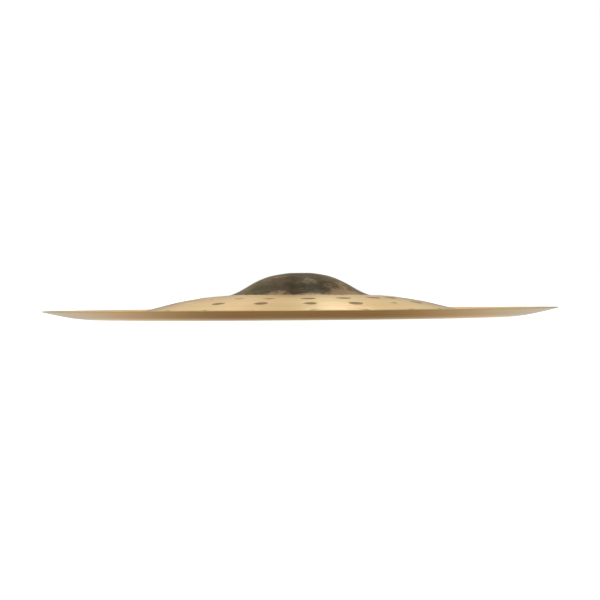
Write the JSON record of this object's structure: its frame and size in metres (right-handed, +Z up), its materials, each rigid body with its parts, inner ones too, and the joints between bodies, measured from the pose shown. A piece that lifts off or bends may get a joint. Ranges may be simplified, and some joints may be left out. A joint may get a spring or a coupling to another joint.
{
  "type": "crash cymbal",
  "caption": "China-style crash cymbal: a thin hammered bronze plate with a round bell, a shallow bow and a turned-up outer flange, hung through its central hole.",
  "frame": {"origin": "on the axis of the mounting hole, on the plane that the trough ring rests on", "axes": "+Z up along the axis of the mounting hole, towards the bell; +X and +Y across the plate, which is round, so any two will do"},
  "size_m": [0.4572, 0.4572, 0.0406],
  "materials": {
    "bronze": "cast and hammered bell bronze: raw dark bell, bow and flange turned in fine grooves, rings of large raw hammer marks round the bow"
  },
  "bodies": {
    "root": {"cymbal_plate": "bronze"}
  },
  "joints": []
}
